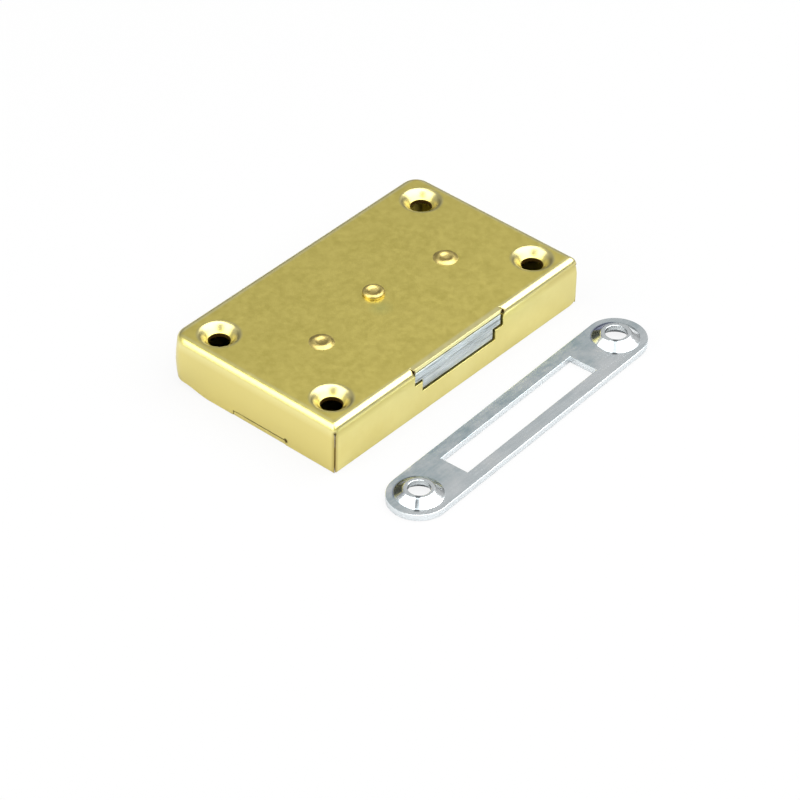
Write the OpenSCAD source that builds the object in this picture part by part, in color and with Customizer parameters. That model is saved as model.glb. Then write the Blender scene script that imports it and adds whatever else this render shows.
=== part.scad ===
// Surface-mounted furniture lock with a laminated bolt and three levers, and its strike plate.
// The origin is on the axis of the key pin, in the plane of the lock's back.
// +X runs along the lock, -Y is the way the bolt comes out, +Z points away from the door.

/* [Case] */
// Length of the case
case_l = 65; // [60:1:80]
// Width of the case, from the front wall to the rear wall
case_w = 38.6; // [36:0.2:50]
// Backset: from the front face to the axis of the key
backset = 20; // [20:0.5:22]
// Thickness of the case's sheet
sheet = 0.8; // [0.6:0.05:1.0]
// Outside radius of the bend between the plate and the walls
bend_r = 1.2; // [1.1:0.1:2]
// Outside radius of the two rear corners
corner_r = 3.2; // [2.2:0.1:4]
// Width of the open seam at the two front corners
seam_w = 0.16; // [0.1:0.02:0.3]
// From the bend down to the top of the seam
seam_top = 0.2; // [0.1:0.05:0.5]
// From the front face back to the edge of the plate over the bolt
tongue_set = 0.4; // [0:0.05:0.8]
// Radius of the front wall's lower right corner
foot_right_r = 1.6; // [0.4:0.1:2.5]
// Radius of the front wall's lower left corner
foot_left_r = 0.5; // [0.2:0.1:2.5]

/* [Screw holes] */
// Diameter of the screw holes
screw_d = 4; // [3:0.1:4.6]
// Diameter of a pressed countersink at the surface
sink_d = 7.8; // [7:0.1:8.6]
// Depth of a pressed countersink
sink_depth = 1.4; // [1:0.1:1.8]
// From the ends of the case to the screw holes
screw_end = 5.7; // [5.5:0.1:8]
// From the front face to the front screw holes
screw_front = 5.9; // [5.5:0.1:7]
// From the rear face to the rear screw holes
screw_rear = 6.5; // [5.5:0.1:7]

/* [Rivets] */
// Distance between the two pillars
pillar_span = 33; // [31:0.5:38]
// From the key's axis forwards to the pillars
pillar_set = 2.55; // [2:0.05:4]
// Diameter of the pillars
pillar_d = 3; // [2.6:0.1:3.2]
// Diameter of the riveted ends
tenon_d = 2.2; // [1.6:0.1:2.4]
// Diameter of the closed heads on the case
head_d = 4; // [3.4:0.1:5]
// Height of the pillars' closed heads
head_h = 0.42; // [0.3:0.02:0.8]
// Height of the key pin's closed head
key_head_h = 0.8; // [0.6:0.05:1.2]
// Diameter of the collar that carries the bolt on the left pillar
collar_d = 5.2; // [4:0.1:6]

/* [Key way] */
// Diameter of the key pin
key_pin_d = 3; // [2.4:0.1:3.2]
// From the back of the lock to the key pin's free end
key_pin_set = 0.3; // [0.1:0.1:0.8]
// Diameter of the key's shank
shank_d = 6; // [5:0.1:6.4]
// Reach of the key's bit from its axis
bit_r = 7.5; // [7:0.1:8]
// Thickness of the key's bit
bit_t = 2.6; // [1.6:0.1:3]
// Clearance round the key in the keyhole
key_gap = 0.25; // [0.15:0.05:0.4]

/* [Bolt] */
// Width of the two upper layers
wide_w = 23; // [20.6:0.2:24]
// Width of the two lower layers
narrow_w = 18.9; // [16:0.1:20]
// Thickness of each layer
layer_t = 1.05; // [0.8:0.05:1.3]
// Travel of the bolt
throw = 7; // [5:0.5:7.5]
// From the front wall's face back to the bolt's face
bolt_set = 0.25; // [0.1:0.05:1]
// Corner radius of the bolt's face, in plan
nose_r = 0.3; // [0.2:0.1:1.5]
// Clearance between the bolt and the ends of its slot
slot_gap = 0.3; // [0.2:0.05:0.6]
// Clearance between the bolt and its slot, below
slot_low = 0.4; // [0.2:0.05:0.6]
// Play between the bolt and the plate above it
bolt_play = 0.1; // [0.05:0.05:0.3]
// Radial clearance of a pin in its slot or bore
pin_gap = 0.06; // [0.03:0.01:0.09]
// Metal beside a slot in the bolt
web = 2; // [1.4:0.1:2.4]
// Gap left behind the front wall when the bolt is out
stop_gap = 1.2; // [0.6:0.1:1.6]
// Diameter of the rivets through the layers
rivet_d = 2; // [1.4:0.1:2.4]

/* [Cover] */
// Thickness of the cover plate
cover_t = 0.8; // [0.6:0.1:1.2]
// Clearance between the cover and the case's walls
cover_gap = 0.1; // [0.05:0.05:0.2]
// Length of the cover's two tabs
tab_l = 12; // [8:0.5:16]
// From the front face to the middle of the tabs
tab_set = 17.5; // [15:0.5:21]

/* [Levers] */
// Thickness of each lever
lever_t = 1.1; // [0.8:0.05:1.4]
// Thickness of the rings between the levers
spacer_t = 0.25; // [0.15:0.05:0.5]
// Play above and below each lever
lever_gap = 0.05; // [0.03:0.01:0.1]
// From the right pillar in to the line of the lever post and the stump
post_in = 4.5; // [4.1:0.1:5]
// Lever post, from the key's axis forwards
post_set = 13.5; // [13:0.1:14]
// Radius of the lever's eye
eye_r = 3; // [2.6:0.1:3.4]
// Diameter of the stump
stump_d = 2.5; // [2:0.1:2.8]
// Stump, from the key's axis to the rear when the bolt is in
stump_set = 9.5; // [9.5:0.1:10]
// How far a lever drops from the open gate, in degrees
drop_a = 4; // [3:0.5:4.5]
// How far a lever can be lifted past the open gate, in degrees
over_a = 2.5; // [1.5:0.5:3]
// Clearance of the stump in the gate
gate_gap = 0.12; // [0.08:0.01:0.2]
// Least metal round the gate
gate_web = 1.2; // [0.9:0.1:1.5]
// Step between the lifts of the levers
lift_step = 0.4; // [0.2:0.1:0.6]
// Thickness of the leaf springs
leaf_t = 0.25; // [0.15:0.05:0.35]
// Gap between a leaf spring's end and the pillar that it presses on
leaf_gap = 0.15; // [0.1:0.05:0.3]

/* [Strike plate] */
// Length of the strike plate
strike_l = 67.4; // [62:0.2:75]
// Width of the strike plate, whose ends are round
strike_w = 11.2; // [10.4:0.2:14]
// Thickness of the strike plate
strike_t = 1.3; // [1:0.1:1.6]
// Length of its slot
slot_l = 36.7; // [30:0.1:40]
// Width of its slot
slot_w = 5.8; // [5:0.1:6.4]
// Distance between its screw holes
strike_span = 55.8; // [54:0.2:60]
// Diameter of its screw holes
strike_hole_d = 4; // [3:0.1:4.8]
// Diameter of a raised screw seat
seat_d = 8.6; // [8:0.1:9]
// Width of the flat round the hole of a raised seat
seat_land = 0.6; // [0.3:0.1:1]
// Height of a raised screw seat above the plate
seat_h = 1.2; // [0.6:0.1:1.3]
// Gap between the lock and the plate where it lies
strike_gap = 8.3; // [8:0.1:30]
// How far the plate lies out of line with the lock, in degrees
strike_turn = 2.14; // [0:0.01:2.5]

/* [Hidden] */
$fn = 64;
eps = 0.01;

brass = [0.80, 0.74, 0.42];
zinc = [0.72, 0.74, 0.72];
steel = [0.58, 0.58, 0.58];
bronze = [0.72, 0.60, 0.32];

// Faces of the case
end_x = case_l / 2;
front_y = -backset;
rear_y = case_w - backset;

// Heights, from the back of the lock upwards: cover, levers, bolt, plate of the case
levers_n = 3;
spacers_n = levers_n - 1;
lever_pitch = lever_t + spacer_t + 2 * lever_gap;
levers_h = levers_n * (lever_t + 2 * lever_gap) + spacers_n * spacer_t;
bolt_z = cover_t + levers_h;
step_z = bolt_z + 2 * layer_t;
roof_z = bolt_z + 4 * layer_t + bolt_play;
case_h = roof_z + sheet;
function lever_z(k) = bolt_z - lever_gap - lever_t - (k - 1) * lever_pitch;
function layer_z(k) = bolt_z + (4 - k) * layer_t;

// Places of the pins
screw_x = end_x - screw_end;
screw_ys = [front_y + screw_front, rear_y - screw_rear];
pillar_x = pillar_span / 2;
pillar_y = -pillar_set;
post_x = pillar_x - post_in;
post_y = -post_set;
stump_x = post_x;
stump_y = stump_set;

// Bolt
nose_y = front_y + bolt_set;
tail_y = front_y + sheet + throw + stop_gap;
tail_x = pillar_x + pillar_d / 2 + pin_gap + web;
tail_end = stump_y + stump_d / 2 + 1.4;
way_l = bit_r + key_gap;
way_x = way_l * cos(28);
notch_y = throw / 2;
notch_w = bit_t + 4 * key_gap;

// Cover
tab_y = front_y + tab_set;

// An arc of radius r that rounds corner q between its neighbours p and s, in n steps
function corner_arc(p, q, s, r, n) =
    let (u = (p - q) / norm(p - q), v = (s - q) / norm(s - q), half = acos(u * v) / 2,
        c = q + (u + v) / norm(u + v) * r / sin(half),
        from = q + u * r / tan(half) - c,
        to = q + v * r / tan(half) - c,
        a = atan2(from[1], from[0]),
        turn = atan2(to[1], to[0]) - a,
        sweep = turn - 360 * round(turn / 360))
    [for (i = [0 : n]) c + r * [cos(a + sweep * i / n), sin(a + sweep * i / n)]];
function xy(p) = [p[0], p[1]];
// An outline from corners [x, y, radius], where radius 0 is a sharp corner
function rounded(pts, n = 6) = [for (i = [0 : len(pts) - 1])
    let (before = pts[(i + len(pts) - 1) % len(pts)], after = pts[(i + 1) % len(pts)])
    each pts[i][2] == 0 ? [xy(pts[i])] : corner_arc(xy(before), xy(pts[i]), xy(after), pts[i][2], n)];

// A flat blank with rounded corners, standing on height z
module blank(pts, z, t) {
    translate([0, 0, z]) linear_extrude(t) polygon(rounded(pts));
}
// A round hole or pin on the Z axis
module rod(x, y, z, d, h) {
    translate([x, y, z]) cylinder(d = d, h = h);
}
// A slot along Y with round ends, from one end's centre to the other's
module slot(x, y0, y1, z, d, h) {
    rod(x, y0, z, d, h);
    rod(x, y1, z, d, h);
    translate([x - d / 2, y0, z]) cube([d, y1 - y0, h]);
}

// Outline of the edge of the case, filled as far in as a reach from the rear corners' centres
module edge_outline(reach) {
    translate([-reach, 0]) square([reach + corner_r - bend_r, case_h]);
    translate([-reach, 0]) square([reach + corner_r, case_h - bend_r]);
    translate([corner_r - bend_r, case_h - bend_r]) circle(bend_r);
}
// Section through the edge of the case: plate, bend and wall
module edge_section() {
    difference() {
        edge_outline(0);
        translate([-1, -1]) square([corner_r - bend_r + 1, roof_z + 1]);
        translate([-1, -1]) square([corner_r - sheet + 1, case_h - bend_r + 1]);
        translate([corner_r - bend_r, case_h - bend_r]) circle(bend_r - sheet);
    }
}
// A straight side of the case, with its outside towards +X and its far end at -Y
module side_run(length) {
    rotate([90, 0, 0]) linear_extrude(length) edge_section();
}
// The same side as a solid block, which trims what runs into it at the folded corners
module side_block(length, reach) {
    rotate([90, 0, 0]) linear_extrude(length) edge_outline(reach);
}
// The folded blank before it is pierced
module case_shell() {
    in_x = end_x - corner_r;
    in_front = front_y + corner_r;
    in_rear = rear_y - corner_r;
    translate([-in_x, in_front, roof_z]) cube([2 * in_x, in_rear - in_front, sheet]);
    intersection() {
        translate([end_x, in_front, 0]) rotate([0, 0, -90]) side_run(case_l);
        translate([in_x, rear_y, 0]) side_block(case_w + 1, case_l);
        translate([-in_x, front_y - 1, 0]) rotate([0, 0, 180]) side_block(case_w + 1, case_l);
    }
    for (side = [0, 1]) mirror([side, 0, 0]) {
        intersection() {
            translate([in_x, in_rear, 0]) side_run(in_rear - front_y);
            translate([case_l, in_front, 0]) rotate([0, 0, -90]) side_block(2 * case_l, case_w);
        }
        translate([in_x, in_rear, 0]) rotate_extrude(angle = 90) edge_section();
    }
    translate([-in_x, in_rear, 0]) rotate([0, 0, 90]) side_run(2 * in_x);
}
// A pressed countersink: the funnel of sheet, with its bore, whose rim blends into the plate
sink_r = sink_d / 2;
bore_r = screw_d / 2;
sink_steps = 8;
function sink_z(t) = -sink_depth * (1 - pow(sin(90 * t), 1.5));
function sink_x(t) = bore_r + (sink_r - bore_r) * t;
module sink_funnel() {
    translate([0, 0, case_h]) rotate_extrude() polygon(concat(
        [for (i = [0 : sink_steps]) [sink_x(i / sink_steps), sink_z(i / sink_steps)]],
        [[sink_r + sheet, 0], [sink_r + sheet, -sheet]],
        [for (i = [sink_steps - 1 : -1 : 1])
            [sink_x(i / sink_steps) + 0.55 * sheet, sink_z(i / sink_steps) - 0.85 * sheet]],
        [[bore_r + 0.55 * sheet, -sink_depth - sheet], [bore_r, -sink_depth - sheet]]));
}
module screw_places() {
    for (x = [-screw_x, screw_x], y = screw_ys) translate([x, y, 0]) children();
}
// Slot for the bolt, which follows its step, and the slits that let the plate stay flat over it
wide_slot = wide_w + 2 * slot_gap;
narrow_slot = narrow_w + 2 * slot_gap;
slit_w = 0.25;
module bolt_slot() {
    cut_y = front_y - 1;
    deep = bend_r + 1 + eps;
    translate([-wide_slot / 2 - slit_w, cut_y, case_h - bend_r]) cube([wide_slot + 2 * slit_w, deep, bend_r + 1]);
    translate([-wide_slot / 2, cut_y, step_z - slot_low]) cube([wide_slot, deep, case_h]);
    translate([-narrow_slot / 2, cut_y, bolt_z - slot_low]) cube([narrow_slot, deep, case_h]);
}
// Rounds off a lower corner of the front wall
module foot_cut(r) {
    translate([end_x, front_y + bend_r, 0]) rotate([90, 0, 0]) linear_extrude(bend_r + 1) difference() {
        translate([-r, -1]) square([r + 1, r + 1]);
        translate([-r, r]) circle(r);
    }
}
module lock_case() {
    color(brass) {
        difference() {
            case_shell();
            bolt_slot();
            for (side = [0, 1]) mirror([side, 0, 0])
                translate([end_x, front_y, -1]) rotate([0, 0, 135])
                    translate([-1, -seam_w / 2, 0]) cube([3 * bend_r, seam_w, case_h - bend_r - seam_top + 1]);
            foot_cut(foot_right_r);
            mirror([1, 0, 0]) foot_cut(foot_left_r);
            translate([-case_l, tab_y - tab_l / 2 - cover_gap, -1])
                cube([2 * case_l, tab_l + 2 * cover_gap, cover_t + 2 * cover_gap + 1]);
            screw_places() translate([0, 0, roof_z - 1]) cylinder(r = sink_r + 0.6 * sheet, h = sheet + 2);
            for (x = [-pillar_x, pillar_x]) rod(x, pillar_y, roof_z - 1, tenon_d, sheet + 2);
            rod(0, 0, roof_z - 1, tenon_d, sheet + 2);
        }
        screw_places() sink_funnel();
        translate([-wide_slot / 2, front_y + tongue_set, roof_z])
            cube([wide_slot, bend_r - tongue_set + 2 * eps, sheet]);
    }
}

// Closes the back: it lies inside the walls, and its tabs sit in their notches
module cover_plate() {
    x = end_x - sheet - cover_gap;
    y0 = front_y + sheet + cover_gap;
    y1 = rear_y - sheet - cover_gap;
    r = corner_r - sheet;
    color(brass) difference() {
        union() {
            blank([[-x, y0, 0.5], [x, y0, 0.5], [x, y1, r], [-x, y1, r]], 0, cover_t);
            translate([-end_x + cover_gap, tab_y - tab_l / 2, 0])
                cube([2 * (end_x - cover_gap), tab_l, cover_t]);
        }
        screw_places() translate([0, 0, -1]) cylinder(d = screw_d + 0.4, h = cover_t + 2);
        rod(0, 0, -1, shank_d + 2 * key_gap, cover_t + 2);
        translate([-bit_r - key_gap, -bit_t / 2 - key_gap, -1])
            cube([bit_r + key_gap, bit_t + 2 * key_gap, cover_t + 2]);
        for (x = [-pillar_x, pillar_x]) rod(x, pillar_y, -1, tenon_d, cover_t + 2);
        rod(post_x, post_y, -1, tenon_d, cover_t + 2);
    }
}

// Closed head of a post on the outside of the case: a low ring with a shallow dimple
module closed_head(h, dimple) {
    r = head_d / 2;
    translate([0, 0, case_h]) rotate_extrude() polygon(concat([[0, 0], [r, 0]],
        [for (a = [15 : 15 : 75]) [r - 0.45 + 0.45 * cos(a), h - 0.3 + 0.3 * sin(a)]],
        [[0.55 * r, h], [0.3 * r, h - 0.6 * dimple], [0, h - dimple]]));
}
// A post with a shoulder under the plate and a riveted end through it
module post(d, z) {
    rod(0, 0, z, d, roof_z - z);
    rod(0, 0, roof_z - eps, tenon_d, sheet + 2 * eps);
}
module key_pin() {
    color(brass) {
        post(key_pin_d, key_pin_set);
        closed_head(key_head_h, 0.45);
    }
}
module left_pillar() {
    color(steel) translate([-pillar_x, pillar_y, 0]) {
        post(pillar_d, cover_t);
        rod(0, 0, 0, tenon_d, cover_t + eps);
        rod(0, 0, cover_t, collar_d, levers_h - lever_gap);
        closed_head(head_h, 0.2);
    }
}
module right_pillar() {
    color(steel) translate([pillar_x, pillar_y, 0]) {
        post(pillar_d, cover_t);
        rod(0, 0, 0, tenon_d, cover_t + eps);
        closed_head(head_h, 0.2);
    }
}
module lever_pivot() {
    color(steel) {
        rod(post_x, post_y, cover_t, pillar_d, levers_h - lever_gap);
        rod(post_x, post_y, 0, tenon_d, cover_t + eps);
    }
}
module lever_spacers() {
    color(bronze) for (k = [1 : spacers_n]) difference() {
        rod(post_x, post_y, lever_z(k) - lever_gap - spacer_t, 2 * eye_r, spacer_t);
        rod(post_x, post_y, lever_z(k) - 1, pillar_d + 2 * pin_gap, 2);
    }
}

// Loose plate for the cabinet, with two raised seats for countersunk screws
module screw_seat(x) {
    hole_r = strike_hole_d / 2;
    wall = 0.8 * strike_t;
    top = strike_t + seat_h;
    translate([x, 0, 0]) rotate_extrude() polygon([[hole_r, top - wall], [hole_r, top], [hole_r + seat_land, top],
        [seat_d / 2, strike_t], [seat_d / 2 + 0.3, strike_t], [seat_d / 2 + 0.3, 0], [seat_d / 2 - wall, 0]]);
}
module strike_plate() {
    r = strike_w / 2;
    color(zinc) translate([0, front_y - strike_gap - r, 0]) rotate([0, 0, strike_turn]) {
        difference() {
            union() {
                for (x = [-1, 1]) rod(x * (strike_l / 2 - r), 0, 0, strike_w, strike_t);
                translate([r - strike_l / 2, -r, 0]) cube([strike_l - strike_w, strike_w, strike_t]);
            }
            translate([-slot_l / 2, -slot_w / 2, -1]) cube([slot_l, slot_w, strike_t + 2]);
            for (x = [-1, 1]) rod(x * strike_span / 2, 0, -1, seat_d + 0.3, strike_t + 2);
        }
        for (x = [-1, 1]) screw_seat(x * strike_span / 2);
    }
}

// Head and tail of one layer of the bolt, drilled for its rivets and slotted for the pillars
rivet_places = [[-0.3 * narrow_w, nose_y + 4.5], [0.3 * narrow_w, nose_y + 4.5],
    [-post_x, tail_y + 2.7], [post_x, tail_y + 2.7], [-stump_x, stump_y]];
module layer(k, head_w) {
    h = head_w / 2;
    z = layer_z(k);
    cut = layer_t + 2;
    slot_d = pillar_d + 2 * pin_gap;
    difference() {
        blank([[-h, nose_y, nose_r], [h, nose_y, nose_r], [h, tail_y, 0.6], [tail_x, tail_y, 1.5],
            [tail_x, tail_end, 2.5], [-tail_x, tail_end, 2.5], [-tail_x, tail_y, 1.5], [-h, tail_y, 0.6]],
            z, layer_t);
        for (x = [-pillar_x, pillar_x]) slot(x, pillar_y, pillar_y + throw, z - 1, slot_d, cut);
        for (p = rivet_places) rod(p[0], p[1], z - 1, rivet_d, cut);
        rod(stump_x, stump_y, z - 1, rivet_d, cut);
    }
}
// The upper layers only leave room for the key's shank
module upper_layer(k) {
    color(zinc) difference() {
        layer(k, wide_w);
        slot(0, 0, throw, layer_z(k) - 1, shank_d + 2 * key_gap, layer_t + 2);
    }
}
// The lower layers are open to the rear for the key's bit, which drives them by the notch on the right
module lower_layer(k) {
    color(zinc) difference() {
        layer(k, narrow_w);
        blank([[-way_l, -way_l, 2], [way_x, -way_l, 2], [way_x, notch_y - notch_w / 2, 0.3],
            [way_l, notch_y - notch_w / 2, 0.5], [way_l, notch_y + notch_w / 2, 0.5],
            [way_x, notch_y + notch_w / 2, 0.3], [way_x, tail_end + 1, 0], [-way_l, tail_end + 1, 0]],
            layer_z(k) - 1, layer_t + 2);
    }
}
module bolt_plate_1() { upper_layer(1); }
module bolt_plate_2() { upper_layer(2); }
module bolt_plate_3() { lower_layer(3); }
module bolt_plate_4() { lower_layer(4); }
module bolt_rivets() {
    color(steel) for (p = rivet_places) rod(p[0], p[1], bolt_z, rivet_d, 4 * layer_t);
}
module bolt_stump() {
    color(steel) {
        rod(stump_x, stump_y, bolt_z, rivet_d, 4 * layer_t);
        rod(stump_x, stump_y, cover_t + lever_gap, stump_d, levers_h - lever_gap);
    }
}

// A lever, at the height at which its gate lets the stump pass
channel = stump_d / 2 + gate_gap;
reach_in = stump_y - post_y;
reach_out = reach_in - throw;
function drop_x(reach) = reach * sin(drop_a);
function over_x(reach) = reach * sin(over_a);
module pocket(y, reach, z) {
    x0 = stump_x - channel - over_x(reach);
    x1 = stump_x + channel + drop_x(reach);
    blank([[x0, y - channel, 0.5], [x1, y - channel, 0.5], [x1, y + channel, 0.5], [x0, y + channel, 0.5]],
        z - 1, lever_t + 2);
}
edge_x = stump_x + channel + drop_x(reach_in) + gate_web;
leaf_room = 0.45;
neck_x = pillar_x - pillar_d / 2 - leaf_gap - leaf_t - over_x(pillar_y - post_y) - leaf_room;
shoulder_x = stump_x + channel + drop_x(reach_out) + gate_web;
shoulder_y = stump_y - throw - channel;
belly_x = 5.6;
belly_y = bit_r - 1.4;
belly_gap = 0.2;
lever_end = stump_y + channel + gate_web;
// Where a line from p runs onto the lever's eye, on its left (1) or right (-1) side
function eye_point(p, side) = let (d = p - [post_x, post_y], a = atan2(d[1], d[0]) + side * acos(eye_r / norm(d)))
    [post_x + 0.98 * eye_r * cos(a), post_y + 0.98 * eye_r * sin(a), 0];
module lever(k) {
    z = lever_z(k);
    color(bronze) difference() {
        union() {
            rod(post_x, post_y, z, 2 * eye_r, lever_t);
            blank([eye_point([belly_x, -belly_y], 1), eye_point([neck_x, pillar_y - 3], -1),
                [neck_x, pillar_y - 3, 3], [neck_x, shoulder_y - 2, 1], [shoulder_x, shoulder_y, 0.8],
                [edge_x, shoulder_y + 2, 1.5], [edge_x, lever_end, 1.2], [belly_x + 2.6, lever_end, 1.5],
                [belly_x, belly_y, 0.8], [belly_x, -belly_y, 0.8]], z, lever_t);
        }
        rod(post_x, post_y, z - 1, pillar_d + 2 * pin_gap, lever_t + 2);
        rod(0, 0, z - 1, 2 * (bit_r - belly_gap - (k - 1) * lift_step), lever_t + 2);
        pocket(stump_y, reach_in, z);
        pocket(stump_y - throw, reach_out, z);
        translate([stump_x - channel, stump_y - throw, z - 1]) cube([2 * channel, throw, lever_t + 2]);
        leaf_strip(leaf_path(), leaf_t + 0.06, z - 1, lever_t + 2);
    }
}
module lever_1() { lever(1); }
module lever_2() { lever(2); }
module lever_3() { lever(3); }

// Leaf spring: set in a slit at the lever's corner, it bows out and bears on the right pillar
leaf_a = 145;
leaf_out = [cos(leaf_a), sin(leaf_a)];
leaf_up = [leaf_out[1], -leaf_out[0]];
leaf_touch = [pillar_x, pillar_y] + (pillar_d / 2 + leaf_gap + leaf_t / 2) * leaf_out;
leaf_root = [edge_x - 1.1, lever_end - 1.1];
leaf_bend = [edge_x + 0.5, lever_end - 0.7];
leaf_curve = [leaf_bend, leaf_bend + [3.6, -1.2], leaf_touch + 3 * leaf_up, leaf_touch - leaf_up];
leaf_w = 0.8 * lever_t;
function bezier(p, t) = pow(1 - t, 3) * p[0] + 3 * pow(1 - t, 2) * t * p[1] + 3 * (1 - t) * t * t * p[2]
    + pow(t, 3) * p[3];
function leaf_path() = concat([leaf_root], [for (i = [0 : 12]) bezier(leaf_curve, i / 12)]);
function along(p, i) = let (d = p[min(i + 1, len(p) - 1)] - p[max(i - 1, 0)]) d / norm(d);
function beside(p, i, w) = p[i] + w * [-along(p, i)[1], along(p, i)[0]];
module leaf_strip(p, t, z, h) {
    translate([0, 0, z]) linear_extrude(h) polygon(concat(
        [for (i = [0 : len(p) - 1]) beside(p, i, t / 2)],
        [for (i = [len(p) - 1 : -1 : 0]) beside(p, i, -t / 2)]));
}
module lever_spring(k) {
    color(steel) leaf_strip(leaf_path(), leaf_t, lever_z(k) + (lever_t - leaf_w) / 2, leaf_w);
}
module lever_spring_1() { lever_spring(1); }
module lever_spring_2() { lever_spring(2); }
module lever_spring_3() { lever_spring(3); }

lock_case();
cover_plate();
key_pin();
left_pillar();
right_pillar();
lever_pivot();
lever_spacers();
strike_plate();
bolt_plate_1();
bolt_plate_2();
bolt_plate_3();
bolt_plate_4();
bolt_rivets();
bolt_stump();
lever_1();
lever_2();
lever_3();
lever_spring_1();
lever_spring_2();
lever_spring_3();
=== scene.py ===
from math import cos, hypot, pi, radians, sin, sqrt

import bmesh
import bpy
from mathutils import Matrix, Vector


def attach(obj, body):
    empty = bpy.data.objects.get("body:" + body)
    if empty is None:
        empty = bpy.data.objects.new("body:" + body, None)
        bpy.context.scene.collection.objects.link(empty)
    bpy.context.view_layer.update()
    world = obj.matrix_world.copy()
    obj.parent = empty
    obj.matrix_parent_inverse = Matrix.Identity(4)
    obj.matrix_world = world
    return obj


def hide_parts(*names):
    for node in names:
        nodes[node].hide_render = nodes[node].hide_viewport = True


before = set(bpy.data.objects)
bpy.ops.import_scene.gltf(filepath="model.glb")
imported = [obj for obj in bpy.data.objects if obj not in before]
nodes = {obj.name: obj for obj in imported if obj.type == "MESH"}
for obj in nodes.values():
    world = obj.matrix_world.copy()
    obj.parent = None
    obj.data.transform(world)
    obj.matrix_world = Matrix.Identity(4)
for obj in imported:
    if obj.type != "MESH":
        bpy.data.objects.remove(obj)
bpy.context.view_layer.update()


# Studio. The lock lies on white paper between two broad soft boxes, and is seen as in the photograph: from the
# left of its front edge, 38 degrees above the paper, through a long lens.
def add(tree, kind, feeds=None, **settings):
    made = tree.nodes.new(kind)
    for key, value in settings.items():
        setattr(made, key, value)
    for key, value in (feeds or {}).items():
        if isinstance(value, bpy.types.NodeSocket):
            tree.links.new(value, made.inputs[key])
        else:
            made.inputs[key].default_value = value
    return made


def combined(tree, operation, values):
    last = values[0]
    for value in values[1:]:
        last = add(tree, "ShaderNodeMath", {0: last, 1: value}, operation=operation).outputs[0]
    return last


def product(tree, *values):
    return combined(tree, "MULTIPLY", values)


def largest(tree, *values):
    return combined(tree, "MAXIMUM", values)


def dot(tree, value, way):
    return add(tree, "ShaderNodeVectorMath", {0: value, 1: way}, operation="DOT_PRODUCT").outputs["Value"]


def eased(tree, value, low, high, start, end):
    """Goes smoothly from start to end as a value goes from low to high."""
    return add(tree, "ShaderNodeMapRange", {"Value": value, "From Min": low, "From Max": high, "To Min": start,
                                            "To Max": end}, interpolation_type="SMOOTHSTEP").outputs[0]


bpy.context.scene.view_settings.view_transform = "Standard"
lens = bpy.data.cameras.new("long_lens")
lens.lens, lens.sensor_width = 174.684, 36
lens.clip_start, lens.clip_end = 0.05, 20
camera = bpy.data.objects.new("camera", lens)
camera.location = (-0.41152, -0.35538, 0.42421)
camera.rotation_euler = (radians(51.1262), radians(-0.98328), radians(-48.92737))
bpy.context.scene.collection.objects.link(camera)
bpy.context.scene.camera = camera

paper_mesh = bpy.data.meshes.new("paper")
paper_mesh.from_pydata([(-6, -6, -0.0001), (6, -6, -0.0001), (6, 6, -0.0001), (-6, 6, -0.0001)], [], [(0, 1, 2, 3)])
paper = bpy.data.objects.new("paper", paper_mesh)
bpy.context.scene.collection.objects.link(paper)
paper_white = bpy.data.materials.new("paper_white")
paper_white.use_nodes = True
tree = paper_white.node_tree
tree.nodes.clear()
path = add(tree, "ShaderNodeLightPath")
share = product(tree, largest(tree, path.outputs["Is Camera Ray"], path.outputs["Is Transmission Ray"]), 0.88)
lit = add(tree, "ShaderNodeBsdfDiffuse", {"Color": (0.40, 0.40, 0.40, 1)})
plain = add(tree, "ShaderNodeEmission", {"Color": (1, 1, 1, 1), "Strength": 1.0})
both = add(tree, "ShaderNodeMixShader", {0: share, 1: lit.outputs[0], 2: plain.outputs[0]})
add(tree, "ShaderNodeOutputMaterial", {"Surface": both.outputs[0]})
paper_mesh.materials.append(paper_white)

room = bpy.data.worlds.new("room")
bpy.context.scene.world = room
room.use_nodes = True
tree = room.node_tree
tree.nodes.clear()
way = add(tree, "ShaderNodeTexCoord").outputs["Generated"]
height = add(tree, "ShaderNodeSeparateXYZ", {0: way}).outputs["Z"]
level = eased(tree, height, 0.05, 0.5, 0.9, 0.505)
# low down, the far end of the room is dim, and so is a strip in front
far = largest(tree, eased(tree, dot(tree, way, (0.71, 0.71, 0)), 0.45, 0.85, 1, 0.25),
              eased(tree, height, 0.2, 0.5, 0, 1))
front = largest(tree, eased(tree, dot(tree, way, (0.6, -0.8, 0)), 0.6, 0.85, 1, 0.2),
                eased(tree, height, 0.25, 0.4, 0, 1))
level = product(tree, level, far, front)
walls = add(tree, "ShaderNodeBackground", {"Color": (1, 1, 1, 1), "Strength": level})
white = add(tree, "ShaderNodeBackground", {"Color": (1, 1, 1, 1), "Strength": 1.0})
path = add(tree, "ShaderNodeLightPath")
both = add(tree, "ShaderNodeMixShader", {0: path.outputs["Is Camera Ray"], 1: walls.outputs[0], 2: white.outputs[0]})
add(tree, "ShaderNodeOutputWorld", {"Surface": both.outputs[0]})

for name, place, tilt, size, watts in (
        ("soft_box_left", (-0.565, 0.225, 0.325), (0, -35, 0), (0.94, 0.55), 5.9),
        ("soft_box_right", (0.255, -0.18, 0.577), (30, 0, 0), (0.99, 0.88), 11.5)):
    lamp = bpy.data.lights.new(name, "AREA")
    lamp.shape, lamp.energy = "RECTANGLE", watts
    lamp.size, lamp.size_y = size
    box = bpy.data.objects.new(name, lamp)
    box.location = place
    box.rotation_euler = [radians(v) for v in tilt]
    bpy.context.scene.collection.objects.link(box)

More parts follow.
